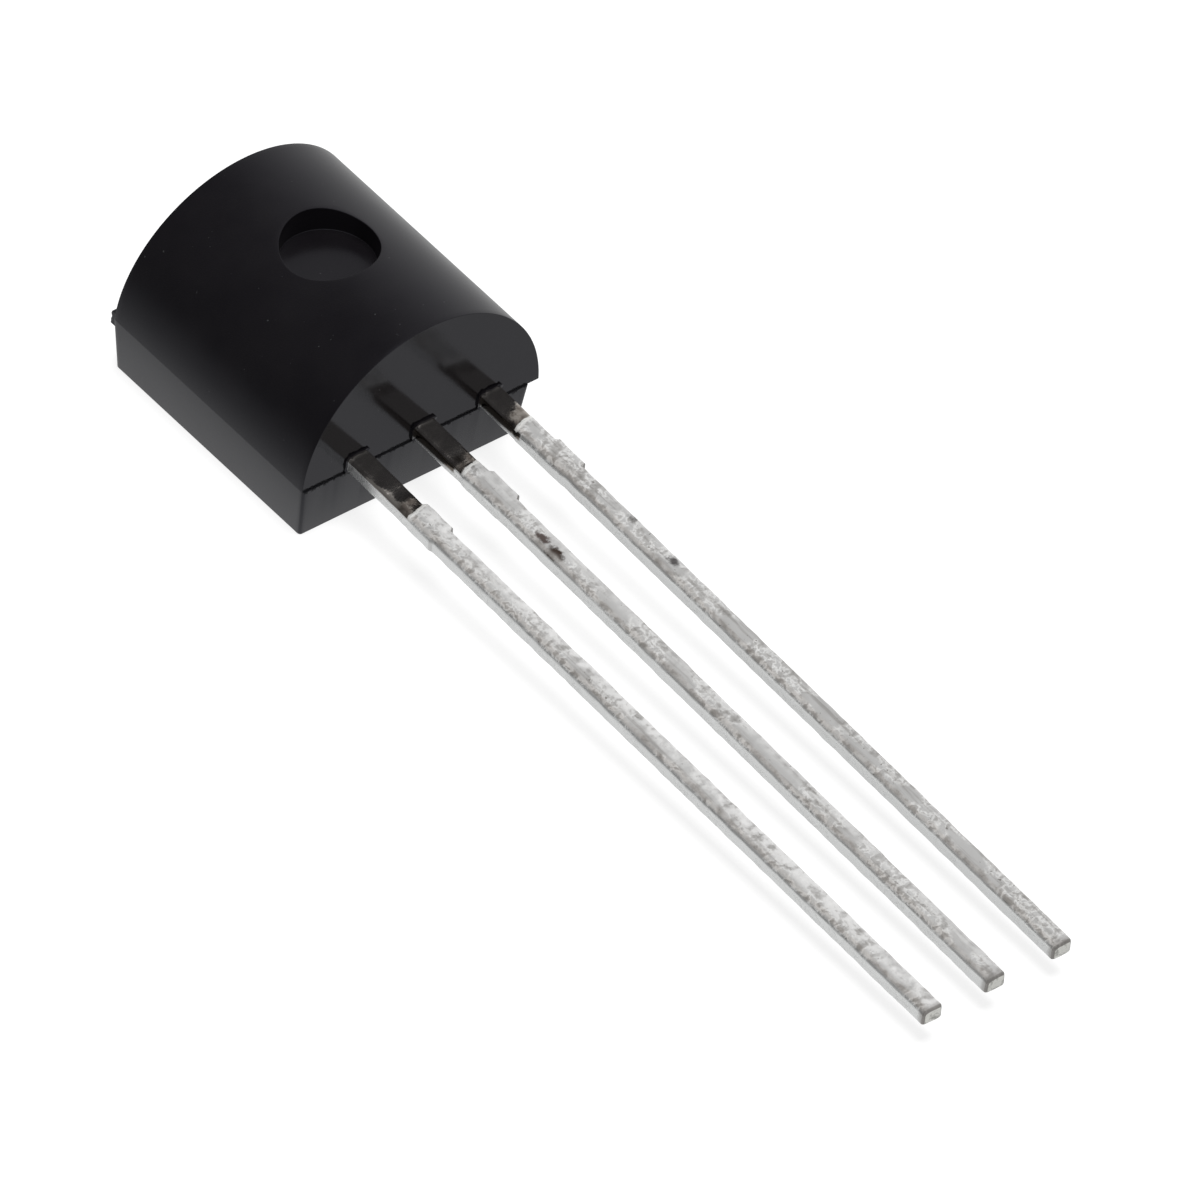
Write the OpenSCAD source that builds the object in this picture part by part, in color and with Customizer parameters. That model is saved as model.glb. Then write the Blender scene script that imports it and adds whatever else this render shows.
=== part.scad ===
// Small-signal transistor in a three-lead plastic package with a flat front and a round back.
// It lies on its flat face: the flat face is at z = 0, the round back faces +Z and the leads point along -Y.
// The origin is the middle of the flat face.

/* [Case] */
// Length of the case at the parting line
case_l = 4.62; // [4.2:0.02:5.2]
// How far each end of the back half stands back from the front half
end_step = 0.03; // [0.01:0.01:0.1]
// Sideways mismatch of the back half against the front half
mismatch_x = 0.11; // [0:0.01:0.2]

/* [Round back half of the case] */
// Radius of the round back
back_r = 2.27; // [2.1:0.01:2.6]
// Height of the round back's axis above the flat face
back_axis_z = 0.88; // [0.5:0.01:0.94]
// Draft of the back half's ends, in degrees
back_draft = 1; // [0.5:0.1:5]
// Diameter of the round ejector recess in the back
recess_d = 1.53; // [0.8:0.01:2.2]
// Depth of the recess floor below the crown of the back
recess_depth = 0.45; // [0.2:0.01:0.8]
// Sideways offset of the recess from the middle of the back
recess_x = -0.1; // [-0.3:0.01:0.3]
// Lengthways offset of the recess from the middle of the back
recess_y = 0.06; // [-0.3:0.01:0.3]

/* [Flat front half of the case] */
// Width of the front half at the parting line
front_w = 4.34; // [4:0.01:4.6]
// Thickness of the front half, from the flat face to the parting line
front_h = 0.96; // [0.75:0.01:1.3]
// Draft of the front half's walls, in degrees
front_draft = 5; // [0.5:0.1:8]

/* [Broken gate] */
// Width of the broken gate at the left corner of the far end
gate_w = 0.9; // [0.4:0.05:1.6]
// Height of the broken gate
gate_h = 0.24; // [0.1:0.01:0.4]
// How far the broken gate reaches below the parting line
gate_drop = 0.16; // [0:0.01:0.3]
// How far the broken gate stands out from the far end
gate_proud = 0.08; // [0.02:0.01:0.2]
// Distance from the front half's side wall to the broken gate
gate_inset = 0.04; // [0.02:0.01:2]

/* [Leads] */
// Sideways place of the middle lead against the middle of the flat face
row_x = 0.14; // [-0.1:0.01:0.2]
// Distance between neighbouring leads
pitch = 1.27; // [1.1:0.01:1.4]
// Width of a lead past the dam bar
lead_w = 0.38; // [0.3:0.01:0.5]
// Width of a lead between the case and the dam bar
root_w = 0.41; // [0.3:0.01:0.55]
// Thickness of a lead
lead_t = 0.28; // [0.22:0.01:0.45]
// Length of a lead from the back half's end face to its tip
lead_l = 13.65; // [5:0.05:27]
// Angle at which the leads droop towards the flat face, in degrees
droop = 2.3; // [0.5:0.1:3]
// Angle at which the emitter lead leans towards the middle lead, in degrees
lean = 0.28; // [0:0.02:1]
// Distance from the back half's end face to the cut stub of the dam bar
stub_start = 1.38; // [1:0.02:3]
// Length of the dam bar's stub, along the lead
stub_l = 0.65; // [0.3:0.05:1.2]
// How far the stub stands out on the lead's right side
stub_proud = 0.075; // [0.02:0.005:0.15]

/* [Lead frame inside the case] */
// Length of the narrow neck between the end face and a bond pad or the paddle
neck_l = 0.75; // [0.4:0.05:1]
// Width of a bond pad
pad_w = 0.74; // [0.5:0.02:0.9]
// Length of a bond pad
pad_l = 1; // [0.6:0.05:1.4]
// Gap between a bond pad and the paddle
pad_gap = 0.18; // [0.1:0.01:0.3]
// Length of the die paddle
paddle_l = 1.9; // [1.4:0.05:2.3]
// Diameter of the moulding-lock hole in the paddle
lock_d = 0.5; // [0.3:0.02:0.7]
// Web between the lock hole and the paddle's far edge
lock_web = 0.25; // [0.15:0.01:0.4]

/* [Chip and bond wires] */
// Width of the square silicon die
die_w = 0.5; // [0.3:0.01:0.6]
// Thickness of the die
die_t = 0.22; // [0.1:0.01:0.3]
// Thickness of the die attach layer
attach_t = 0.03; // [0.01:0.005:0.05]
// How far the die attach layer reaches past the die on each side
attach_rim = 0.04; // [0.02:0.005:0.08]
// Diameter of a bond wire
wire_d = 0.04; // [0.02:0.005:0.06]
// Rise of a bond wire's arch above the line between its ends
wire_rise = 0.35; // [0.2:0.01:0.5]

/* [Hidden] */

$fn = 96;

// Number of sides and of arch segments of a bond wire
wire_sides = 8;
wire_steps = 12;

// Amount by which a cutting or trimming shape runs past what it cuts
over = 1;

// Ends of the two case halves
back_l = case_l - 2 * end_step;
front_near = -case_l / 2;
back_near = -back_l / 2;
crown_z = back_axis_z + back_r;

// The lead frame lies on the parting plane, in the back half; past the case it bends down
frame_z = front_h;
frame_top = frame_z + lead_t;
bend_y = front_near;
tip_run = back_near - lead_l - bend_y;
tip_y = bend_y + tip_run * cos(droop);
tip_drop = -tip_run * sin(droop);

// Plan of the inner ends of the leads
inner_y = back_near + neck_l;
paddle_w = 2 * (pitch - pad_w / 2 - pad_gap);
lock_y = inner_y + paddle_l - lock_web - lock_d / 2;

// The die sits on the part of the paddle before the lock hole
die_y = (inner_y + lock_y - lock_d / 2) / 2;
attach_w = die_w + 2 * attach_rim;
die_z = frame_top + attach_t;
die_top = die_z + die_t;
wire_foot = die_w / 4;
pad_y = inner_y + pad_l / 2;

// Slab with its section given in the XZ plane, from y0 to y1
module along_y(y0, y1) {
    translate([0, y1, 0])
        rotate([90, 0, 0])
            linear_extrude(y1 - y0)
                children();
}

// Slab with its section given in the YZ plane, from x0 to x1
module along_x(x0, x1) {
    translate([x0, 0, 0])
        rotate([90, 0, 90])
            linear_extrude(x1 - x0)
                children();
}

// Wall outline that narrows by a draft angle over the height from z0 to z1
module drafted(w0, z0, z1, angle) {
    inset = abs(z1 - z0) * tan(angle);
    polygon([[-w0 / 2, z0], [w0 / 2, z0], [w0 / 2 - inset, z1], [-w0 / 2 + inset, z1]]);
}

module front_half() {
    intersection() {
        along_y(-case_l, case_l)
            drafted(front_w, front_h, 0, front_draft);
        along_x(-front_w, front_w)
            drafted(case_l, front_h, 0, front_draft);
    }
}

module back_half() {
    translate([mismatch_x, 0, 0])
        intersection() {
            along_y(-back_l, back_l)
                intersection() {
                    translate([0, back_axis_z])
                        circle(back_r);
                    translate([-back_r - over, front_h])
                        square([2 * (back_r + over), crown_z]);
                }
            along_x(-back_r - over, back_r + over)
                drafted(back_l, front_h, crown_z + over, back_draft);
        }
}

// Broken-off gate across the parting line, through which the mould was filled
module gate_vestige() {
    translate([gate_inset - front_w / 2, 0, front_h - gate_drop])
        cube([gate_w, case_l / 2 + gate_proud, gate_h]);
}

module ejector_recess() {
    translate([mismatch_x + recess_x, recess_y, crown_z - recess_depth])
        cylinder(d = recess_d, h = recess_depth + over);
}

// Side view of a lead: level inside the case, then straight along the droop to a square-cut tip
module lead_side(inner_end) {
    tip_z = frame_z - tip_drop;
    polygon([[inner_end, frame_z], [bend_y, frame_z], [tip_y, tip_z],
             [tip_y - lead_t * sin(droop), tip_z + lead_t * cos(droop)],
             [bend_y, frame_top], [inner_end, frame_top]]);
}

// Plan of the straight outer lead, leaning sideways from the bend on, with its root
// and the stub of the dam bar, which is cut flush on the left
module lead_plan(lean_angle) {
    reach = tip_y - over;
    shift = (bend_y - reach) * tan(lean_angle);
    stub_end = back_near - stub_start - stub_l;
    polygon([[-lead_w / 2, bend_y], [shift - lead_w / 2, reach],
             [shift + lead_w / 2, reach], [lead_w / 2, bend_y]]);
    translate([-root_w / 2, stub_end])
        square([root_w, inner_y - stub_end]);
    translate([0, stub_end])
        square([lead_w / 2 + stub_proud, stub_l]);
}

// Whole lead at its place in the row, with the plan of its inner end as children
module lead(place, inner_end, lean_angle) {
    x = row_x + place * pitch;
    intersection() {
        along_x(x - pitch, x + pitch)
            lead_side(inner_end);
        translate([x, 0, 0])
            linear_extrude(crown_z + tip_drop, center = true)
                union() {
                    lead_plan(lean_angle);
                    children();
                }
    }
}

module pad_plan() {
    translate([-pad_w / 2, inner_y])
        square([pad_w, pad_l]);
}

module paddle_plan() {
    difference() {
        translate([-paddle_w / 2, inner_y])
            square([paddle_w, paddle_l]);
        translate([0, lock_y])
            circle(d = lock_d);
    }
}

// Point of a bond wire's arch at t from 0 to 1, upright at both ends
function arch_point(a, b, t) = a + (b - a) * (1 - cos(180 * t)) / 2 + [0, 0, wire_rise * sin(180 * t)];
function arch_run(a, b, t) = (b - a) * sin(180 * t) / 2 + [0, 0, wire_rise * cos(180 * t)];
function unit(v) = v / norm(v);
function arch_ring(a, b, t) =
    let (side = unit([a[1] - b[1], b[0] - a[0], 0]),
         rise = cross(side, unit(arch_run(a, b, t))))
    [for (i = [0 : wire_sides - 1])
        arch_point(a, b, t)
        + wire_d / 2 * (cos(360 * i / wire_sides) * side + sin(360 * i / wire_sides) * rise)];

// Bond wire from the die's top to the middle of a lead's pad; place is -1 or 1
module bond_wire(place) {
    a = [row_x + place * wire_foot, die_y, die_top];
    b = [row_x + place * pitch, pad_y, frame_top];
    rings = [for (j = [0 : wire_steps]) each arch_ring(a, b, j / wire_steps)];
    walls = [for (j = [0 : wire_steps - 1], i = [0 : wire_sides - 1])
        let (k = (i + 1) % wire_sides, m = j * wire_sides, n = m + wire_sides)
        each [[m + i, n + i, n + k], [m + i, n + k, m + k]]];
    caps = [[for (i = [0 : wire_sides - 1]) i],
            [for (i = [wire_sides - 1 : -1 : 0]) wire_steps * wire_sides + i]];
    polyhedron(rings, concat(walls, caps));
}

module moulded_case() {
    color("#1c1c1e")
        difference() {
            union() {
                front_half();
                back_half();
                gate_vestige();
            }
            ejector_recess();
            emitter_lead();
            collector_lead();
            base_lead();
            die_attach();
            silicon_die();
            base_wire();
            emitter_wire();
        }
}

module emitter_lead() {
    color("#c9c9c6")
        lead(-1, inner_y + pad_l, lean)
            pad_plan();
}

module collector_lead() {
    color("#c9c9c6")
        lead(0, inner_y + paddle_l, 0)
            paddle_plan();
}

module base_lead() {
    color("#c9c9c6")
        lead(1, inner_y + pad_l, 0)
            pad_plan();
}

module die_attach() {
    color("#b9b4a6")
        translate([row_x - attach_w / 2, die_y - attach_w / 2, frame_top])
            cube([attach_w, attach_w, attach_t]);
}

module silicon_die() {
    color("#4d5560")
        translate([row_x - die_w / 2, die_y - die_w / 2, die_z])
            cube([die_w, die_w, die_t]);
}

module base_wire() {
    color("#d8b24a")
        bond_wire(1);
}

module emitter_wire() {
    color("#d8b24a")
        bond_wire(-1);
}

moulded_case();
emitter_lead();
collector_lead();
base_lead();
silicon_die();
die_attach();
base_wire();
emitter_wire();
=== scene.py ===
"""Looks of a small transistor in a three-lead plastic package, lying on its flat face.

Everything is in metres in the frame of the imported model: flat face on z = 0, leads along -Y.
"""
import math

import bmesh
import bpy
from mathutils import Matrix, Vector, noise


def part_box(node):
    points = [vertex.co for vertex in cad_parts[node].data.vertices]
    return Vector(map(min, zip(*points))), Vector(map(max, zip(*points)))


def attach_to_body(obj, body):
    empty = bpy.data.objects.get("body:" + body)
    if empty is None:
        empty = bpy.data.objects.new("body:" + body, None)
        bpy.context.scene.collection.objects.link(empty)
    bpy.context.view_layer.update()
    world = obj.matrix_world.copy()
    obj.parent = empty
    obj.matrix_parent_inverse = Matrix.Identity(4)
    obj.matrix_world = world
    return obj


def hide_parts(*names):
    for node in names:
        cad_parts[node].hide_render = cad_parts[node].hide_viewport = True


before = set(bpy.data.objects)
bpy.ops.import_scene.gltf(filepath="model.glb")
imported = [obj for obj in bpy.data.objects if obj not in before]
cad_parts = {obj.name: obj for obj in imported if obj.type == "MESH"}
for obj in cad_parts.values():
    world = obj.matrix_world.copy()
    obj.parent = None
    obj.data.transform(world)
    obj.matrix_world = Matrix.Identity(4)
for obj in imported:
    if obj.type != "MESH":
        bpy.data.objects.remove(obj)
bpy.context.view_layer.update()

MM = 0.001

# Sizes of the moulded case, as in the solid that it replaces
CASE_L = 4.62 * MM
END_STEP = 0.03 * MM
BACK_R = 2.27 * MM
BACK_AXIS_Z = 0.88 * MM
BACK_L = CASE_L - 2 * END_STEP
BACK_X = 0.11 * MM
BACK_DRAFT = math.tan(math.radians(1.0))
FRONT_W = 4.34 * MM
FRONT_H = 0.96 * MM
FRONT_DRAFT = math.tan(math.radians(5.0))
RECESS_R = 1.53 / 2 * MM
RECESS_X = BACK_X - 0.1 * MM
RECESS_Y = 0.06 * MM
RECESS_DEPTH = 0.45 * MM
RECESS_FLOOR = BACK_AXIS_Z + BACK_R - RECESS_DEPTH
GATE_W = 0.9 * MM
GATE_H = 0.24 * MM
GATE_DROP = 0.16 * MM
GATE_PROUD = 0.08 * MM
GATE_L = 4 * GATE_PROUD
GATE_INSET = 0.04 * MM
GATE_X = GATE_INSET - FRONT_W / 2
# How far the front half stands proud of the back half along the left crease, and the share worn away
CREASE = FRONT_W / 2 + BACK_X - math.sqrt(BACK_R ** 2 - (FRONT_H - BACK_AXIS_Z) ** 2)
CREASE_WEAR = 0.95

# Mould radii: the back's end edges, the edges of the recess and the flat face, the front half's corners
EDGE_R = 0.006 * MM
RIM_R = 0.012 * MM
CORNER_R = 0.05 * MM
# Depth and grain of the ragged flash along the parting line and of the gate's broken face, and the
# share of the gate's length past which its points lie on that face
FLASH = 0.012 * MM
FLASH_GRAIN = 0.09 * MM
BREAK = 0.04 * MM
BREAK_GRAIN = 0.1 * MM
BREAK_FROM = 0.99
# The ragged lip of resin round each lead where it leaves the case: width, reach, wear and grain
LIP_W = 0.03 * MM
LIP_REACH = 0.03 * MM
LIP_WEAR = 0.03 * MM
LIP_GRAIN = 0.06 * MM

# Mesh of the back: steps up each side of the arc, half width of the square patch round the recess,
# cells along its side, rows from it to either end and rings from its border to the recess's rim
ARC_STEPS = 40
PATCH_HALF = 1.05 * MM
PATCH_SIDE = 24
END_ROWS = 12
PATCH_RINGS = 6
# Rings on the recess's floor, as shares of its radius
FLOOR_RINGS = (0.75, 0.5, 0.25)
# Steps round a small radius, steps along a side of the front half and cuts across the gate
FILLET_STEPS = 4
SIDE_STEPS = 90
GATE_CUTS = 9
# Turn in degrees from which an edge stays sharp, and the pull of large faces on the case's normals
CASE_SHARP = 40
LEAD_SHARP = 50
NORMAL_WEIGHT = 100

LEADS = ("emitter_lead", "collector_lead", "base_lead")
# Place of the middle lead and distance between the leads
ROW_X = 0.14 * MM
PITCH = 1.27 * MM
# Section of a lead: squareness of its rounding (2 is an ellipse) and of its rolled upper left edge,
# and the points round it
LEAD_SQUARE = 6.5
LEAD_ROLL = 3.4
LEAD_RING = 64
# Run of a lead: how deep it starts in the case, spacing of its sections and the first one's share of it
LEAD_SINK = 0.15 * MM
LEAD_CUT = 0.05 * MM
FIRST_CUT = 0.3
# Height and grain of the waves in its surface
LEAD_WAVE = 0.009 * MM
WAVE_GRAIN = 0.22 * MM
# Its cut end: rounding, turns of the rounding in degrees and how far the end stays inside the solid
LEAD_TIP = 0.06 * MM
TIP_TURNS = (22.5, 45, 67.5, 90)
TIP_TRIM = 0.011 * MM
# A lead's solid before it is cut: points nearer than this are one, and so are faces nearer in angle
WELD = 1e-7
FLAT_ANGLE = math.radians(1)

# The mirror-smooth roots of the leads, bare of plating: their length at the middle of the case,
# its change across the row, its waver and the softness of the border
ROOT_L = 1.07 * MM
ROOT_SLANT = -0.24
ROOT_WAVER = 0.12 * MM
ROOT_SOFT = 0.03 * MM
# Painted reflection of the black case on their left sides: length, place across the row and height where it
# begins, softness of those
ROOT_SIDE_L = 0.95 * MM
ROOT_SIDE_X = -0.7 * MM
ROOT_SIDE_Z = 1.04 * MM
ROOT_SIDE_SOFT = 0.05 * MM
ROOT_ROW_SOFT = 0.1 * MM
# Painted darkening on a root beside the plating, carrying on the case's dark reflection: length and softness
DARK_BAND_L = 0.3 * MM
DARK_BAND_SOFT = 0.15 * MM
# Thickness of the plating and half width of the painted glint along its edge
PLATE_T = 0.01 * MM
GLINT_EDGE = 0.035 * MM
# The dull band round the pinched ends: where the ends lie, the band's softness and its border
TIP_Y = min(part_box(node)[0][1] for node in LEADS)
TIP_SHADE = 0.1 * MM
TIP_BORDER = TIP_Y + 1.7 * TIP_SHADE
# Painted highlight on the right halves of the left and middle leads: border and softness across a lead and
# the row
HIGHLIGHT_EDGE = 0.02 * MM
HIGHLIGHT_SOFT = 0.14 * MM
HIGHLIGHT_ROW = 0.3 * MM
HIGHLIGHT_ROW_SOFT = 3.4 * MM
# Brown and dark rubs on the middle and right leads: place, size and colour
RUBS = (((0.12 * MM, -5.17 * MM, 1.12 * MM), 0.09 * MM, (0.17, 0.135, 0.125)),
        ((0.07 * MM, -5.53 * MM, 1.1 * MM), 0.12 * MM, (0.08, 0.055, 0.043)),
        ((1.48 * MM, -6.6 * MM, 1.06 * MM), 0.07 * MM, (0.17, 0.16, 0.16)),
        ((1.52 * MM, -5.58 * MM, 1.1 * MM), 0.06 * MM, (0.24, 0.23, 0.225)))
# Shape of a rub: scale of distances along each axis, grain and depth of its ragged edge, the noise's
# usual reach, which is added to its size, and its softness
RUB_STRETCH = (1.0, 0.65, 1.0)
RUB_GRAIN = 0.08 * MM
RUB_RAGGED = 0.2 * MM
RUB_REACH = 0.09 * MM
RUB_SOFT = 0.08 * MM

# Soft steps over one axis of the normal, as middle and width: the case's ends, a lead's left side,
# both limits of its rolled edge, its top, and the rim and the face of its cut end
CASE_END = (0.8, 0.1)
LEFT_SIDE = (-0.8, 0.2)
ROLL_ENTRY = (-0.6, 0.3)
ROLL_EXIT = (-0.1, 0.18)
TOP_FACE = (0.35, 0.2)
END_RIM = (0.25, 0.2)
END_FACE = (0.93, 0.06)
# Soft steps over a noise: nicks and specks in the resin, frosted plates and pits in the tin
NICKED = (0.53, 0.1)
SPECKED = (0.8, 0.05)
FROSTED = (0.48, 0.08)
PITTED = (0.7, 0.06)

# Looks of the resin: tones of its halves and roughness of its satin sides and the back's glossy ends,
# as ramps over a cloudy noise, then its specks, its nicks and the strength and tint of its sheen
FRONT_TONE = [(0.3, (0.008, 0.008, 0.0095)), (0.7, (0.012, 0.0118, 0.0132))]
BACK_TONE = [(0.3, (0.0051, 0.0044, 0.0055)), (0.7, (0.0076, 0.0067, 0.0078))]
SATIN = [(0.3, 0.2), (0.7, 0.26)]
GLOSS = [(0.3, 0.1), (0.7, 0.16)]
SPECK_TONE = (0.04, 0.04, 0.042)
NICK_TONE = (0.004, 0.0035, 0.003)
NICK_ROUGH = 0.75
RESIN_SPECULAR = 0.4
RESIN_TINT = (0.87, 0.88, 1.0)
# Height over which the front half's tone gives way to the back's, and half width and softness of the
# nicked band along the parting line
HALF_BLEND = 0.01 * MM
NICK_BAND = 0.035 * MM
NICK_SOFT = 0.04 * MM

# Tin on the runs: flat plates, veined plates and a mask of their veins, drawn streaks with their
# strength, pits, and the painted highlight with its strength; lists are ramps over a noise
FLAT_TIN = (0.84, 0.835, 0.825)
VEINED_TIN = [(0.3, (0.6, 0.585, 0.565)), (0.46, (0.84, 0.83, 0.815)), (0.52, (1.0, 0.998, 0.985)),
              (0.58, (0.84, 0.835, 0.825)), (0.75, (0.98, 0.975, 0.965))]
VEINS = [(0.46, 0.0), (0.52, 1.0), (0.58, 0.0)]
STREAK_TONE = [(0.32, (0.5, 0.48, 0.46)), (0.5, (1.0, 1.0, 1.0))]
STREAK_SHARE = 0.6
PIT_TONE = (0.3, 0.28, 0.26)
HIGHLIGHT_TIN = (1.0, 0.995, 0.985)
HIGHLIGHT_SHARE = [(0.38, 0.15), (0.62, 1.0)]
# Painted shade on the rolled upper left edges and painted light on the left sides: their tones and how far
# they cover the tin
SHADED_ROLL_TIN = [(0.35, (0.5, 0.47, 0.44)), (0.5, (0.72, 0.69, 0.66)), (0.62, (0.88, 0.86, 0.835))]
LIT_SIDE_TIN = (0.98, 0.995, 0.99)
PAINTED_SIDE_SHARE = 0.85
# Tones of the pinched ends with their cover, of the rims and of the sheared faces
PINCHED_TIN = (0.4, 0.385, 0.37)
PINCH_SHARE = 0.7
RIM_TIN = (0.36, 0.345, 0.33)
SHEARED_TIN = [(0.36, (0.5, 0.5, 0.47)), (0.5, (0.97, 0.97, 0.92)), (0.66, (0.78, 0.78, 0.74))]
# Tones of the bare roots: painted darkening beside the plating, clean metal, the case's painted reflection
# on the left sides, and the painted glint at the plating's edge
PAINTED_DARK_ROOT = [(0.4, (0.3, 0.26, 0.23)), (0.6, (0.6, 0.55, 0.5))]
CLEAN_ROOT = (0.8, 0.75, 0.7)
CASE_REFLECTION_ROOT = (0.14, 0.12, 0.1)
GLINT_TIN = (1.0, 0.995, 0.97)
# Roughness of the tin, its left sides, its rolled edges and the roots
TIN_ROUGH = [(0.3, 0.46), (0.7, 0.36)]
SIDE_ROUGH = [(0.35, 0.34), (0.65, 0.22)]
ROLL_ROUGH = 0.6
ROOT_ROUGH = 0.12
# How metallic the matte tin, its frosted parts and the painted highlight and glint look; bare roots are
# plain metal
MATTE_METAL = 0.8
FROST_METAL = 0.5

# The floor: half its side, its grey and its own glow for the camera
FLOOR_HALF = 1.5
FLOOR_GREY = 0.32
FLOOR_GLOW = 0.78
# What reflections see of it: brightness along a stretch from left to right
MIRROR_LEFT = -20 * MM
MIRROR_RIGHT = 5 * MM
FLOOR_MIRROR = [(0.0, 0.12), (0.44, 0.22), (0.6, 0.36), (0.675, 0.55), (0.705, 0.72), (0.84, 0.62)]
# The lamp overhead: side, power in watts and place
LAMP_SIDE = 0.28
LAMP_POWER = 2.2
LAMP_PLACE = (0.0, -0.03, 0.5)
# Brightness of the room: near walls, far wall from left to right, and the soft box overhead
NEAR_WALL = 0.32
FAR_WALL = [(0.0, 0.09), (0.33, 0.14), (0.55, 0.14), (0.75, 0.4), (0.89, 0.62), (1.0, 0.68)]
SOFT_BOX = 0.9
# Soft steps over a direction's Y and Z, as middle and width, to the far wall and to the soft box
FAR_STEP = (0.15, 0.5)
BOX_STEP = (0.93, 0.06)

# Camera fitted to the photograph: angles in degrees, distance, the picture's side in pixels,
# pixels per millimetre at the origin, the origin's place in the picture, the sensor's width
# in millimetres and the nearest and farthest distance seen
AZIMUTH = 43.45
ELEVATION = 43.1
ROLL = 6.78
DISTANCE = 400 * MM
PICTURE = 1200
PX_PER_MM = 66.56
ORIGIN_U = 315.68
ORIGIN_V = 398.15
SENSOR = 36.0
CLIP_START = 0.01
CLIP_END = 50


def new_material(name):
    """A node material, with its tree and its shader."""
    material = bpy.data.materials.new(name)
    material.use_nodes = True
    tree = material.node_tree
    shader = tree.nodes["Principled BSDF"]
    return material, tree, shader


def add(tree, kind, **values):
    """Adds a node and sets its properties and unlinked inputs by name."""
    node = tree.nodes.new(kind)
    for key, value in values.items():
        if hasattr(node, key):
            setattr(node, key, value)
        else:
            node.inputs[key.replace("_", " ")].default_value = value
    return node


def rgba(colour):
    """A colour with full alpha; a number stands for a grey."""
    if isinstance(colour, (int, float)):
        colour = (colour,) * 3
    return (*colour, 1)


def split_axes(tree, kind):
    """Object-space coordinates, split into their three axes; kind is Object or Normal."""
    coords = add(tree, "ShaderNodeTexCoord")
    split = add(tree, "ShaderNodeSeparateXYZ")
    tree.links.new(coords.outputs[kind], split.inputs["Vector"])
    return split.outputs


def noise_at(tree, size, detail=3.0, roughness=0.55, distortion=0.0, stretch=None):
    """Noise in object space with a feature size, optionally stretched along an axis."""
    coords = add(tree, "ShaderNodeTexCoord")
    texture = add(tree, "ShaderNodeTexNoise", Scale=1 / size, Detail=detail, Roughness=roughness,
                  Distortion=distortion)
    vector = coords.outputs["Object"]
    if stretch:
        mapping = add(tree, "ShaderNodeMapping", Scale=stretch)
        tree.links.new(vector, mapping.inputs["Vector"])
        vector = mapping.outputs["Vector"]
    tree.links.new(vector, texture.inputs["Vector"])
    return texture.outputs["Fac"]


def math_node(tree, operation, *operands):
    """Math node over sockets and numbers."""
    node = add(tree, "ShaderNodeMath", operation=operation)
    for socket, operand in zip(node.inputs, operands):
        if isinstance(operand, (int, float)):
            socket.default_value = operand
        else:
            tree.links.new(operand, socket)
    return node.outputs["Value"]


def product(tree, result, *factors):
    """Product of sockets and numbers."""
    for factor in factors:
        result = math_node(tree, "MULTIPLY", result, factor)
    return result


def inverse(tree, mask):
    """Mask that is 1 where the given one is 0."""
    return math_node(tree, "SUBTRACT", 1.0, mask)


def span(tree, value, low, high, interpolation="LINEAR"):
    """The value's way from low to high, as 0 to 1."""
    node = add(tree, "ShaderNodeMapRange", interpolation_type=interpolation, From_Min=low, From_Max=high)
    tree.links.new(value, node.inputs["Value"])
    return node.outputs["Result"]


def step_at(tree, value, edge, width):
    """Soft step from 0 to 1 as the value passes the edge."""
    return span(tree, value, edge - width / 2, edge + width / 2, "SMOOTHSTEP")


def blend(tree, factor, low, high, kind="RGBA"):
    """Mixes two sockets or constants by a factor; kind is RGBA or FLOAT."""
    node = add(tree, "ShaderNodeMix", data_type=kind)
    tree.links.new(factor, node.inputs["Factor"])
    for name, operand in (("A", low), ("B", high)):
        if isinstance(operand, bpy.types.NodeSocket):
            tree.links.new(operand, node.inputs[name])
        else:
            node.inputs[name].default_value = rgba(operand) if kind == "RGBA" else operand
    return node.outputs["Result"]


def ramp(tree, source, stops):
    """Colour ramp over a value: stops are (position, colour) pairs; a number stands for a grey."""
    node = add(tree, "ShaderNodeValToRGB")
    elements = node.color_ramp.elements
    while len(elements) < len(stops):
        elements.new(0.5)
    for element, (position, colour) in zip(elements, stops):
        element.position = position
        element.color = rgba(colour)
    tree.links.new(source, node.inputs["Fac"])
    return node.outputs["Color"]


def bump(tree, shader, layers):
    """Stacks bump layers, each a value with its height, onto the shader's normal."""
    normal = None
    for source, height in layers:
        node = add(tree, "ShaderNodeBump", Strength=1.0, Distance=height)
        tree.links.new(source, node.inputs["Height"])
        if normal:
            tree.links.new(normal, node.inputs["Normal"])
        normal = node.outputs["Normal"]
    tree.links.new(normal, shader.inputs["Normal"])


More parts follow.
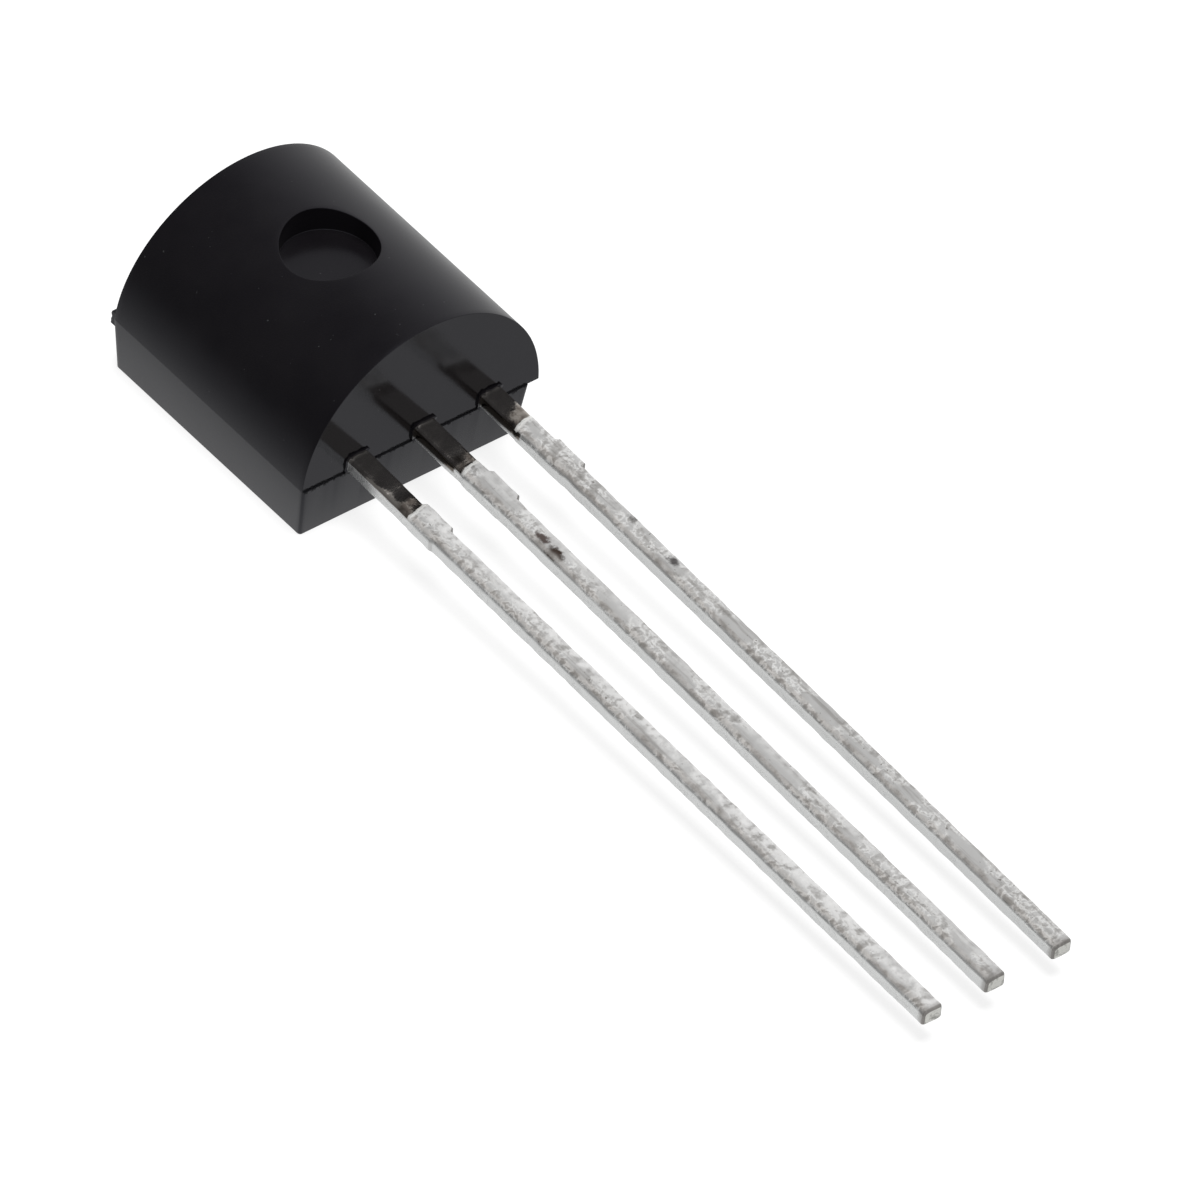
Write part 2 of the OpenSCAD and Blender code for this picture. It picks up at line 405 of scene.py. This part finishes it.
def moulding_compound():
    """Black epoxy: satin back with glossy ends, paler front half and nicks along the parting line."""
    material, tree, shader = new_material("moulding_compound")
    z = split_axes(tree, "Object")["Z"]
    facing = math_node(tree, "ABSOLUTE", split_axes(tree, "Normal")["Y"])
    end_face = step_at(tree, facing, *CASE_END)
    clouds = noise_at(tree, 0.9 * MM, detail=4)
    grain = noise_at(tree, 0.03 * MM, detail=2)
    specks = noise_at(tree, 0.07 * MM, detail=1)
    nick_noise = noise_at(tree, 0.06 * MM, detail=3)
    back = step_at(tree, z, FRONT_H + HALF_BLEND, HALF_BLEND)
    off_line = math_node(tree, "ABSOLUTE", math_node(tree, "SUBTRACT", z, FRONT_H))
    on_line = inverse(tree, step_at(tree, off_line, NICK_BAND, NICK_SOFT))
    nicks = product(tree, on_line, end_face, step_at(tree, nick_noise, *NICKED))
    tone = blend(tree, back, ramp(tree, clouds, FRONT_TONE), ramp(tree, clouds, BACK_TONE))
    tone = blend(tree, step_at(tree, specks, *SPECKED), tone, SPECK_TONE)
    tone = blend(tree, nicks, tone, NICK_TONE)
    tree.links.new(tone, shader.inputs["Base Color"])
    satin = ramp(tree, clouds, SATIN)
    gloss = ramp(tree, clouds, GLOSS)
    rough = blend(tree, product(tree, back, end_face), satin, gloss, "FLOAT")
    tree.links.new(blend(tree, nicks, rough, NICK_ROUGH, "FLOAT"), shader.inputs["Roughness"])
    shader.inputs["Specular IOR Level"].default_value = RESIN_SPECULAR
    shader.inputs["Specular Tint"].default_value = rgba(RESIN_TINT)
    bump(tree, shader, [(clouds, 0.0008 * MM), (grain, 0.00025 * MM), (nicks, -0.004 * MM)])
    return material


def tin_plate():
    """Tin plating on the leads: mottled runs with painted light and shade, dull ends, mirror-smooth bare
    roots.
    """
    material, tree, shader = new_material("tin_plate")
    place = split_axes(tree, "Object")
    normal = split_axes(tree, "Normal")
    mottle = noise_at(tree, 0.15 * MM, detail=4, roughness=0.6, distortion=0.3)
    streaks = noise_at(tree, 0.09 * MM, detail=3, stretch=(1.0, 0.05, 1.0))
    leftward = inverse(tree, step_at(tree, normal["X"], *LEFT_SIDE))
    rolled = math_node(tree, "SUBTRACT", step_at(tree, normal["X"], *ROLL_ENTRY),
                       step_at(tree, normal["X"], *ROLL_EXIT))
    tone, frost_and_highlight = mottled_run(tree, place, mottle, streaks)
    # Painted shade: the rolled upper left edge is darkened
    tone = blend(tree, product(tree, rolled, PAINTED_SIDE_SHARE), tone, ramp(tree, mottle, SHADED_ROLL_TIN))
    # Painted light: the left sides are painted near white
    tone = blend(tree, product(tree, leftward, PAINTED_SIDE_SHARE), tone, LIT_SIDE_TIN)
    tone = cut_end(tree, place, normal, mottle, tone)
    tone, bare, edge = bare_root(tree, place, normal, mottle, leftward, tone)
    tree.links.new(tone, shader.inputs["Base Color"])
    rough = blend(tree, rolled, ramp(tree, mottle, TIN_ROUGH), ROLL_ROUGH, "FLOAT")
    rough = blend(tree, leftward, rough, ramp(tree, mottle, SIDE_ROUGH), "FLOAT")
    tree.links.new(blend(tree, bare, rough, ROOT_ROUGH, "FLOAT"), shader.inputs["Roughness"])
    metal = blend(tree, frost_and_highlight, MATTE_METAL, FROST_METAL, "FLOAT")
    metal = blend(tree, bare, metal, 1.0, "FLOAT")
    # Painted glint at the plating's edge, made less metallic
    metal = blend(tree, edge, metal, FROST_METAL, "FLOAT")
    tree.links.new(metal, shader.inputs["Metallic"])
    bump(tree, shader, [(mottle, 0.003 * MM), (streaks, 0.002 * MM)])
    return material


def mottled_run(tree, place, mottle, streaks):
    """Tone of the tin along the leads, from veins to rubs, with a painted highlight; and a mask of frost and
    highlight.
    """
    plates = noise_at(tree, 0.5 * MM, detail=2, stretch=(1.0, 0.5, 1.0))
    pits = noise_at(tree, 0.07 * MM, detail=3)
    frosted = step_at(tree, plates, *FROSTED)
    veins = product(tree, frosted, ramp(tree, mottle, VEINS))
    tone = blend(tree, frosted, FLAT_TIN, ramp(tree, mottle, VEINED_TIN))
    drawn = add(tree, "ShaderNodeMix", data_type="RGBA", blend_type="MULTIPLY", Factor=STREAK_SHARE)
    tree.links.new(tone, drawn.inputs["A"])
    tree.links.new(ramp(tree, streaks, STREAK_TONE), drawn.inputs["B"])
    tone = blend(tree, step_at(tree, pits, *PITTED), drawn.outputs["Result"], PIT_TONE)
    # Painted highlight: the right halves of the left and middle leads are painted paler
    off_row = math_node(tree, "SUBTRACT", place["X"], ROW_X)
    off_lead = math_node(tree, "WRAP", off_row, PITCH / 2, -PITCH / 2)
    right_half = step_at(tree, off_lead, HIGHLIGHT_EDGE, HIGHLIGHT_SOFT)
    left_leads = inverse(tree, step_at(tree, place["X"], HIGHLIGHT_ROW, HIGHLIGHT_ROW_SOFT))
    painted_highlight = product(tree, right_half, left_leads, ramp(tree, mottle, HIGHLIGHT_SHARE))
    tone = blend(tree, painted_highlight, tone, HIGHLIGHT_TIN)
    for centre, radius, colour in RUBS:
        tone = blend(tree, rub(tree, centre, radius), tone, colour)
    return tone, math_node(tree, "MAXIMUM", veins, painted_highlight)


def cut_end(tree, place, normal, mottle, tone):
    """The tone with each lead's pinched end and its rim dulled, and the sheared face mottled."""
    off_tip = math_node(tree, "MULTIPLY_ADD", mottle, TIP_SHADE, place["Y"])
    pinched = inverse(tree, step_at(tree, off_tip, TIP_BORDER, TIP_SHADE))
    tone = blend(tree, product(tree, pinched, PINCH_SHARE), tone, PINCHED_TIN)
    endward = product(tree, normal["Y"], -1.0)
    tone = blend(tree, step_at(tree, endward, *END_RIM), tone, RIM_TIN)
    return blend(tree, step_at(tree, endward, *END_FACE), tone, ramp(tree, mottle, SHEARED_TIN))


def bare_root(tree, place, normal, mottle, leftward, tone):
    """The tone with the roots bared and painted shade and glint added, and masks of the bare metal and of
    the glint.
    """
    along = math_node(tree, "MULTIPLY_ADD", place["X"], ROOT_SLANT, place["Y"])
    waver = math_node(tree, "MULTIPLY_ADD", mottle, ROOT_WAVER, along)
    border = -CASE_L / 2 - ROOT_L
    upward = step_at(tree, normal["Z"], *TOP_FACE)
    top = product(tree, step_at(tree, waver, border, ROOT_SOFT), upward)
    # Painted reflection of the black case on the left sides of the roots
    side = product(tree, step_at(tree, place["Y"], -CASE_L / 2 - ROOT_SIDE_L, ROOT_SIDE_SOFT),
                   step_at(tree, place["X"], ROOT_SIDE_X, ROOT_ROW_SOFT),
                   step_at(tree, place["Z"], ROOT_SIDE_Z, ROOT_SIDE_SOFT),
                   leftward)
    # Painted shade: the root beside the plating is darkened to carry on the case's reflection
    near_case = step_at(tree, waver, border + DARK_BAND_L, DARK_BAND_SOFT)
    tone = blend(tree, top, tone, blend(tree, near_case, ramp(tree, mottle, PAINTED_DARK_ROOT), CLEAN_ROOT))
    tone = blend(tree, side, tone, CASE_REFLECTION_ROOT)
    # Painted highlight: a bright glint along the plating's edge
    off_edge = math_node(tree, "ABSOLUTE", math_node(tree, "SUBTRACT", waver, border))
    edge = product(tree, inverse(tree, step_at(tree, off_edge, GLINT_EDGE, ROOT_SOFT)), upward)
    tone = blend(tree, edge, tone, GLINT_TIN)
    return tone, math_node(tree, "MAXIMUM", top, side), edge


def rub(tree, centre, radius):
    """Mask of a rub round a point, drawn out along the lead, with a ragged edge."""
    coords = add(tree, "ShaderNodeTexCoord")
    gap = add(tree, "ShaderNodeVectorMath", operation="SUBTRACT")
    gap.inputs[1].default_value = centre
    tree.links.new(coords.outputs["Object"], gap.inputs[0])
    drawn = add(tree, "ShaderNodeVectorMath", operation="MULTIPLY")
    drawn.inputs[1].default_value = RUB_STRETCH
    tree.links.new(gap.outputs["Vector"], drawn.inputs[0])
    size = add(tree, "ShaderNodeVectorMath", operation="LENGTH")
    tree.links.new(drawn.outputs["Vector"], size.inputs[0])
    ragged = math_node(tree, "MULTIPLY_ADD", noise_at(tree, RUB_GRAIN), RUB_RAGGED, size.outputs["Value"])
    return inverse(tree, step_at(tree, ragged, radius + RUB_REACH, RUB_SOFT))


def inner_material(name, dark, light, metallic, roughness, grain_size):
    """Plain finish with a fine grain, for a piece that is sealed in the case."""
    material, tree, shader = new_material(name)
    grain = noise_at(tree, grain_size, detail=2)
    tree.links.new(ramp(tree, grain, [(0.3, dark), (0.7, light)]), shader.inputs["Base Color"])
    shader.inputs["Metallic"].default_value = metallic
    shader.inputs["Roughness"].default_value = roughness
    bump(tree, shader, [(grain, 0.001 * MM)])
    return material


def finish_piece(mesh, name, material, node):
    """Links a mesh as a piece that stands for a node and rides on the part."""
    mesh.materials.clear()
    mesh.materials.append(material)
    piece = bpy.data.objects.new(name, mesh)
    bpy.context.scene.collection.objects.link(piece)
    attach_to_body(piece, "root")
    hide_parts(node)
    return piece


def back_surface(x):
    """Height of the round back over the sideways place x."""
    return BACK_AXIS_Z + math.sqrt(max(BACK_R ** 2 - (x - BACK_X) ** 2, 0.0))


def end_of_back(side, z):
    """Place of the back half's end face at height z; side is -1 at the leads, 1 at the far end."""
    return side * (BACK_L / 2 - (z - FRONT_H) * BACK_DRAFT)


def quarter_turns():
    """Angles of the steps round a small radius, from its start to its end."""
    return [math.pi / 2 * k / FILLET_STEPS for k in range(FILLET_STEPS + 1)]


def column_angles():
    """Angles of the mesh columns round the back's axis, from right to left."""
    start = math.asin((FRONT_H - BACK_AXIS_Z) / BACK_R)
    patch = []
    for i in range(PATCH_SIDE + 1):
        x = RECESS_X + PATCH_HALF * (1 - 2 * i / PATCH_SIDE)
        patch.append(math.acos((x - BACK_X) / BACK_R))
    right = [start + (patch[0] - start) * i / ARC_STEPS for i in range(ARC_STEPS)]
    rest = math.pi - start - patch[-1]
    left = [patch[-1] + rest * (i + 1) / ARC_STEPS for i in range(ARC_STEPS)]
    return right + patch + left


def back_column(angle, edge):
    """Points of one mesh column, from the leads' end on; an edge column lies on the parting line."""

    def place(radius):
        """Point of the column's section on a radius."""
        if edge:
            reach = math.sqrt(radius ** 2 - (FRONT_H - BACK_AXIS_Z) ** 2)
            return BACK_X + math.copysign(reach, math.cos(angle)), FRONT_H
        return BACK_X + radius * math.cos(angle), BACK_AXIS_Z + radius * math.sin(angle)

    x, z = place(BACK_R)
    near = end_of_back(-1, z)
    far = end_of_back(1, z)
    near_round = []
    far_round = []
    for turn in quarter_turns()[:-1]:
        rx, rz = place(BACK_R - EDGE_R * (1 - math.sin(turn)))
        back = EDGE_R * (1 - math.cos(turn))
        near_round.append((rx, near + back, rz))
        far_round.append((rx, far - back, rz))
    first = near + EDGE_R
    last = far - EDGE_R
    patch_near = RECESS_Y - PATCH_HALF
    patch_far = RECESS_Y + PATCH_HALF
    rows = [first + (patch_near - first) * i / END_ROWS for i in range(END_ROWS)]
    rows += [RECESS_Y + PATCH_HALF * (2 * i / PATCH_SIDE - 1) for i in range(PATCH_SIDE + 1)]
    rows += [patch_far + (last - patch_far) * (i + 1) / END_ROWS for i in range(END_ROWS)]
    return near_round + [(x, y, z) for y in rows] + far_round[::-1]


def back_mesh():
    """The round back half: an arched grid with rounded end edges and a patch around the ejector recess."""
    bm = bmesh.new()
    angles = column_angles()
    columns = []
    for index, angle in enumerate(angles):
        points = back_column(angle, index in (0, len(angles) - 1))
        columns.append([bm.verts.new(p) for p in points])
    first = ARC_STEPS
    last = first + PATCH_SIDE
    row_first = FILLET_STEPS + END_ROWS
    row_last = row_first + PATCH_SIDE
    for c in range(len(columns) - 1):
        for r in range(len(columns[0]) - 1):
            if first <= c < last and row_first <= r < row_last:
                continue
            bm.faces.new((columns[c][r], columns[c][r + 1], columns[c + 1][r + 1], columns[c + 1][r]))
    bm.faces.new([column[0] for column in columns])
    bm.faces.new([column[-1] for column in reversed(columns)])
    bm.faces.new(columns[0][::-1] + columns[-1])
    border = [columns[c][row_first] for c in range(first, last)]
    border += [columns[last][r] for r in range(row_first, row_last)]
    border += [columns[c][row_last] for c in range(last, first, -1)]
    border += [columns[first][r] for r in range(row_last, row_first, -1)]
    recess(bm, border)
    loose = [v for v in bm.verts if not v.link_faces]
    bmesh.ops.delete(bm, geom=loose, context="VERTS")
    bmesh.ops.recalc_face_normals(bm, faces=bm.faces)
    return bm


def recess(bm, border):
    """Fills the patch: rings from its border to the rim, the rounded rim, the wall and the flat floor."""
    centre = Vector((RECESS_X, RECESS_Y))
    arms = [(v.co.xy - centre) for v in border]
    rings = [border]

    def ring(height, radius=RECESS_R + RIM_R, share=1.0):
        """Adds one ring; share is its part of the way from the border to the radius."""
        verts = []
        for arm in arms:
            spot = centre + arm.lerp(arm.normalized() * radius, share)
            verts.append(bm.verts.new((spot.x, spot.y, height(spot.x))))
        rings.append(verts)

    for i in range(PATCH_RINGS):
        ring(back_surface, share=(i + 1) / PATCH_RINGS)
    for turn in quarter_turns()[1:]:
        drop = RIM_R * (1 - math.cos(turn))
        ring(lambda x, d=drop: back_surface(x) - d, RECESS_R + RIM_R * (1 - math.sin(turn)))
    for turn in quarter_turns():
        lift = RIM_R * (1 - math.sin(turn))
        ring(lambda x, h=lift: RECESS_FLOOR + h, RECESS_R - RIM_R * (1 - math.cos(turn)))
    for share in FLOOR_RINGS:
        ring(lambda x: RECESS_FLOOR, RECESS_R * share)
    join_rings(bm, rings)
    bm.faces.new(rings[-1])


def rounded_outline(half_x, half_y):
    """Points round a rectangle with rounded corners, evenly stepped along its sides."""
    corners = []
    for quarter, (sx, sy) in enumerate(((1, 1), (-1, 1), (-1, -1), (1, -1))):
        middle = Vector((sx * (half_x - CORNER_R), sy * (half_y - CORNER_R)))
        turns = [math.pi / 2 * quarter + t for t in quarter_turns()]
        corners.append([middle + CORNER_R * Vector((math.cos(t), math.sin(t))) for t in turns])
    points = []
    for corner, following in zip(corners, corners[1:] + corners[:1]):
        points += corner
        points += [corner[-1].lerp(following[0], i / SIDE_STEPS) for i in range(1, SIDE_STEPS)]
    return points


def front_mesh():
    """The flat front half: a drafted block with rounded edges and a ragged flash at the parting line."""
    bm = bmesh.new()
    levels = [(RIM_R * (1 - math.cos(t)), RIM_R * (1 - math.sin(t))) for t in quarter_turns()]
    levels += [(FRONT_H - 2 * FLASH, 0.0), (FRONT_H, 0.0)]
    loops = []
    for z, inset in levels:
        shrink = inset + (FRONT_H - z) * FRONT_DRAFT
        loop = []
        for p in rounded_outline(FRONT_W / 2 - shrink, CASE_L / 2 - shrink):
            if z == FRONT_H and abs(p.y) > CASE_L / 2 - CORNER_R:
                wear = abs(noise.noise(Vector((p.x, p.y, 0)) / FLASH_GRAIN))
                p *= 1 - wear * FLASH / p.length
            if p.x < 0:
                p.x *= 1 - CREASE_WEAR * CREASE / (FRONT_W / 2)
            loop.append(bm.verts.new((p.x, p.y, z)))
        loops.append(loop)
    join_rings(bm, loops)
    bm.faces.new(loops[0][::-1])
    bm.faces.new(loops[-1])
    bmesh.ops.recalc_face_normals(bm, faces=bm.faces)
    return bm


def gate_mesh():
    """The broken-off gate at the far end: a small block across the parting line with a rough face."""
    bm = bmesh.new()
    size = Vector((GATE_W, GATE_L, GATE_H))
    low = Vector((GATE_X, CASE_L / 2 + GATE_PROUD - GATE_L, FRONT_H - GATE_DROP))
    bmesh.ops.create_cube(bm, size=1.0)
    bmesh.ops.subdivide_edges(bm, edges=bm.edges, cuts=GATE_CUTS, use_grid_fill=True)
    for v in bm.verts:
        share = v.co + Vector((0.5, 0.5, 0.5))
        v.co = low + share * size
        if share.y > BREAK_FROM:
            v.co.y -= BREAK * abs(noise.noise(v.co / BREAK_GRAIN))
    bmesh.ops.recalc_face_normals(bm, faces=bm.faces)
    return bm


def lip_mesh(node):
    """The thin ragged lip of resin round one lead at the end face, filled where the lead passes through."""
    solid = bmesh.new()
    solid.from_mesh(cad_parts[node].data)
    extent = section(solid, -CASE_L / 2)
    solid.free()
    bm = bmesh.new()
    reach = -BACK_L / 2 - LIP_REACH
    rings = [section_ring(bm, extent, -BACK_L / 2 + LEAD_SINK, -LIP_W),
             section_ring(bm, extent, reach, -LIP_W),
             section_ring(bm, extent, reach, LIP_W)]
    for v in rings[1]:
        v.co.y += LIP_WEAR * noise.noise(v.co / LIP_GRAIN)
    join_rings(bm, rings)
    bm.faces.new(rings[0])
    bm.faces.new(rings[-1])
    bmesh.ops.recalc_face_normals(bm, faces=bm.faces)
    return bm


def as_object(bm, name):
    """Turns a bmesh into a linked object."""
    mesh = bpy.data.meshes.new(name)
    bm.to_mesh(mesh)
    bm.free()
    obj = bpy.data.objects.new(name, mesh)
    bpy.context.scene.collection.objects.link(obj)
    return obj


def applied_mesh(obj):
    """The object's mesh with its modifiers applied."""
    graph = bpy.context.evaluated_depsgraph_get()
    return bpy.data.meshes.new_from_object(obj.evaluated_get(graph))


def smooth(mesh, angle):
    """Smooth shading, with edges sharper than the angle in degrees kept sharp."""
    mesh.shade_smooth()
    mesh.set_sharp_from_angle(angle=math.radians(angle))


def moulded_case(material):
    """Joins the two halves, the gate and the lips round the leads into one moulding and dresses it."""
    back = as_object(back_mesh(), "back_half")
    others = [as_object(front_mesh(), "front_half"), as_object(gate_mesh(), "gate")]
    others += [as_object(lip_mesh(node), node + "_lip") for node in LEADS]
    for other in others:
        union = back.modifiers.new("union", "BOOLEAN")
        union.operation = "UNION"
        union.solver = "EXACT"
        union.object = other
    mesh = applied_mesh(back)
    for obj in (back, *others):
        bpy.data.objects.remove(obj)
    smooth(mesh, CASE_SHARP)
    piece = finish_piece(mesh, "case_moulding", material, "moulded_case")
    weighted = piece.modifiers.new("even_normals", "WEIGHTED_NORMAL")
    weighted.keep_sharp = True
    weighted.weight = NORMAL_WEIGHT


def section(bm, y):
    """Extent of a solid where it is cut across at y: middle and half size, sideways and in height."""
    cuts = []
    for edge in bm.edges:
        a, b = (v.co for v in edge.verts)
        if (a.y - y) * (b.y - y) < 0:
            cuts.append(a.lerp(b, (y - a.y) / (b.y - a.y)))
    extent = []
    for axis in (0, 2):
        low = min(p[axis] for p in cuts)
        high = max(p[axis] for p in cuts)
        extent += [(low + high) / 2, (high - low) / 2]
    return extent


def section_ring(bm, extent, y, inset=0.0):
    """A ring of points round a rounded section at y, optionally drawn in from the full extent."""
    middle_x, half_x, middle_z, half_z = extent
    ring = []
    for i in range(LEAD_RING):
        turn = 2 * math.pi * i / LEAD_RING
        square = LEAD_ROLL if LEAD_RING / 4 < i < LEAD_RING / 2 else LEAD_SQUARE
        reach = [math.copysign(abs(f) ** (2 / square), f) for f in (math.cos(turn), math.sin(turn))]
        x = middle_x + (half_x - inset) * reach[0]
        z = middle_z + (half_z - inset) * reach[1]
        ring.append(bm.verts.new((x, y, z)))
    return ring


def join_rings(bm, rings):
    """Faces between rings of equal length, each joined to the next."""
    for ring, following in zip(rings, rings[1:]):
        for i in range(len(ring)):
            j = (i + 1) % len(ring)
            bm.faces.new((ring[i], ring[j], following[j], following[i]))


def lead(node, material):
    """One lead: its solid inside the case, and outside it a rounded, uneven plated run to the cut tip."""
    bm = bmesh.new()
    bm.from_mesh(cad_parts[node].data)
    bmesh.ops.remove_doubles(bm, verts=bm.verts, dist=WELD)
    bmesh.ops.dissolve_limit(bm, angle_limit=FLAT_ANGLE, verts=bm.verts, edges=bm.edges)
    start = -CASE_L / 2 + LEAD_SINK
    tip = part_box(node)[0][1] + TIP_TRIM
    run = tip + LEAD_TIP - start
    steps = int((start - tip) / LEAD_CUT)
    places = [start + run * (i + FIRST_CUT) / (steps + FIRST_CUT) for i in range(steps + 1)]
    extents = [section(bm, y) for y in places]
    geom = list(bm.verts) + list(bm.edges) + list(bm.faces)
    bmesh.ops.bisect_plane(bm, geom=geom, plane_co=(0, start, 0), plane_no=(0, 1, 0), clear_inner=True)
    mouth = [e for e in bm.edges if e.is_boundary]
    rings = [section_ring(bm, extent, y) for extent, y in zip(extents, places)]
    for turn in TIP_TURNS:
        back = LEAD_TIP * (1 - math.sin(math.radians(turn)))
        inset = LEAD_TIP * (1 - math.cos(math.radians(turn)))
        rings.append(section_ring(bm, extents[-1], tip + back, inset))
    join_rings(bm, rings)
    bm.faces.new(rings[-1])
    mouth += [e for e in bm.edges if e.is_boundary and e not in mouth]
    bmesh.ops.bridge_loops(bm, edges=mouth)
    bmesh.ops.recalc_face_normals(bm, faces=bm.faces)
    wave_run(bm, Vector((0, 0, len(node))))
    mesh = bpy.data.meshes.new(node + "_plated")
    bm.to_mesh(mesh)
    bm.free()
    smooth(mesh, LEAD_SHARP)
    finish_piece(mesh, node + "_plated", material, node)


def wave_run(bm, shift):
    """Waves a lead's surface outside the case, with noise moved by a shift, and sinks its bare root."""
    bm.normal_update()
    for v in bm.verts:
        out = -CASE_L / 2 - v.co.y
        if out > 0:
            bare = out < ROOT_L + ROOT_SLANT * v.co.x + ROOT_WAVER / 2
            height = LEAD_WAVE * min(out / ROOT_L, 1.0)
            wave = 0.5 + noise.noise(v.co / WAVE_GRAIN + shift)
            v.co -= v.normal * (height * wave + PLATE_T * bare)


def paint_inside():
    """Finishes of the sealed pieces, which stay the solids that they are."""
    silicon = inner_material("silicon", (0.05, 0.055, 0.07), (0.09, 0.1, 0.12),
                             metallic=0.2, roughness=0.15, grain_size=0.02 * MM)
    attach = inner_material("attach_metal", (0.4, 0.38, 0.33), (0.58, 0.55, 0.48),
                            metallic=1.0, roughness=0.5, grain_size=0.02 * MM)
    gold = inner_material("gold_wire", (0.7, 0.47, 0.13), (0.85, 0.6, 0.2),
                          metallic=1.0, roughness=0.25, grain_size=0.01 * MM)
    for node, material in (("silicon_die", silicon), ("die_attach", attach),
                           ("base_wire", gold), ("emitter_wire", gold)):
        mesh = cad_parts[node].data
        mesh.materials.clear()
        mesh.materials.append(material)


def floor():
    """Plain pale floor: white for the camera, with the part's shadow, and in reflections dim to the left."""
    bm = bmesh.new()
    bmesh.ops.create_grid(bm, x_segments=1, y_segments=1, size=FLOOR_HALF)
    obj = as_object(bm, "floor")
    material, tree, shader = new_material("floor")
    shader.inputs["Base Color"].default_value = rgba(FLOOR_GREY)
    shader.inputs["Roughness"].default_value = 1.0
    shader.inputs["Specular IOR Level"].default_value = 0.0
    shader.inputs["Emission Color"].default_value = rgba(1)
    path = add(tree, "ShaderNodeLightPath")
    camera_glow = product(tree, path.outputs["Is Camera Ray"], FLOOR_GLOW)
    tree.links.new(camera_glow, shader.inputs["Emission Strength"])
    across = span(tree, split_axes(tree, "Object")["X"], MIRROR_LEFT, MIRROR_RIGHT)
    glow = add(tree, "ShaderNodeEmission")
    tree.links.new(ramp(tree, across, FLOOR_MIRROR), glow.inputs["Color"])
    mixed = add(tree, "ShaderNodeMixShader")
    tree.links.new(path.outputs["Is Glossy Ray"], mixed.inputs["Fac"])
    tree.links.new(shader.outputs["BSDF"], mixed.inputs[1])
    tree.links.new(glow.outputs["Emission"], mixed.inputs[2])
    tree.links.new(mixed.outputs["Shader"], tree.nodes["Material Output"].inputs["Surface"])
    material.cycles.emission_sampling = "NONE"
    obj.data.materials.append(material)


def light():
    """A soft box overhead, white in reflections, in a dim room whose far wall brightens to the right."""
    lamp = bpy.data.lights.new("key", "AREA")
    lamp.size = LAMP_SIDE
    lamp.energy = LAMP_POWER
    obj = bpy.data.objects.new("key", lamp)
    obj.location = LAMP_PLACE
    obj.visible_glossy = False
    obj.rotation_euler = (-obj.location).to_track_quat("-Z", "Y").to_euler()
    bpy.context.scene.collection.objects.link(obj)
    world = bpy.data.worlds.new("room")
    world.use_nodes = True
    tree = world.node_tree
    coords = add(tree, "ShaderNodeTexCoord")
    way = add(tree, "ShaderNodeSeparateXYZ")
    tree.links.new(coords.outputs["Generated"], way.inputs["Vector"])
    far_wall = ramp(tree, span(tree, way.outputs["X"], -1.0, 1.0), FAR_WALL)
    room = blend(tree, step_at(tree, way.outputs["Y"], *FAR_STEP), NEAR_WALL, far_wall)
    room = blend(tree, step_at(tree, way.outputs["Z"], *BOX_STEP), room, SOFT_BOX)
    path = add(tree, "ShaderNodeLightPath")
    room = blend(tree, path.outputs["Is Camera Ray"], room, 1.0)
    tree.links.new(room, tree.nodes["Background"].inputs["Color"])
    bpy.context.scene.world = world


def camera():
    """Long lens at the photograph's viewing angle."""
    az, el, roll = (math.radians(a) for a in (AZIMUTH, ELEVATION, ROLL))
    forward = Vector((math.sin(az) * math.cos(el), math.cos(az) * math.cos(el), -math.sin(el)))
    level = Vector((math.cos(az), -math.sin(az), 0.0))
    upright = level.cross(forward)
    right = math.cos(roll) * level + math.sin(roll) * upright
    up = math.cos(roll) * upright - math.sin(roll) * level
    aside = (PICTURE / 2 - ORIGIN_U) / PX_PER_MM * MM
    above = (ORIGIN_V - PICTURE / 2) / PX_PER_MM * MM
    place = right * aside + up * above - forward * DISTANCE
    data = bpy.data.cameras.new("camera")
    data.sensor_width = SENSOR
    data.lens = PX_PER_MM * DISTANCE / MM * SENSOR / PICTURE
    data.clip_start = CLIP_START
    data.clip_end = CLIP_END
    obj = bpy.data.objects.new("camera", data)
    obj.matrix_world = Matrix.Translation(place) @ Matrix((right, up, -forward)).transposed().to_4x4()
    bpy.context.scene.collection.objects.link(obj)
    bpy.context.scene.camera = obj


camera()
moulded_case(moulding_compound())
plate = tin_plate()
for name in LEADS:
    lead(name, plate)
paint_inside()
floor()
light()
bpy.context.scene.view_settings.view_transform = "Standard"
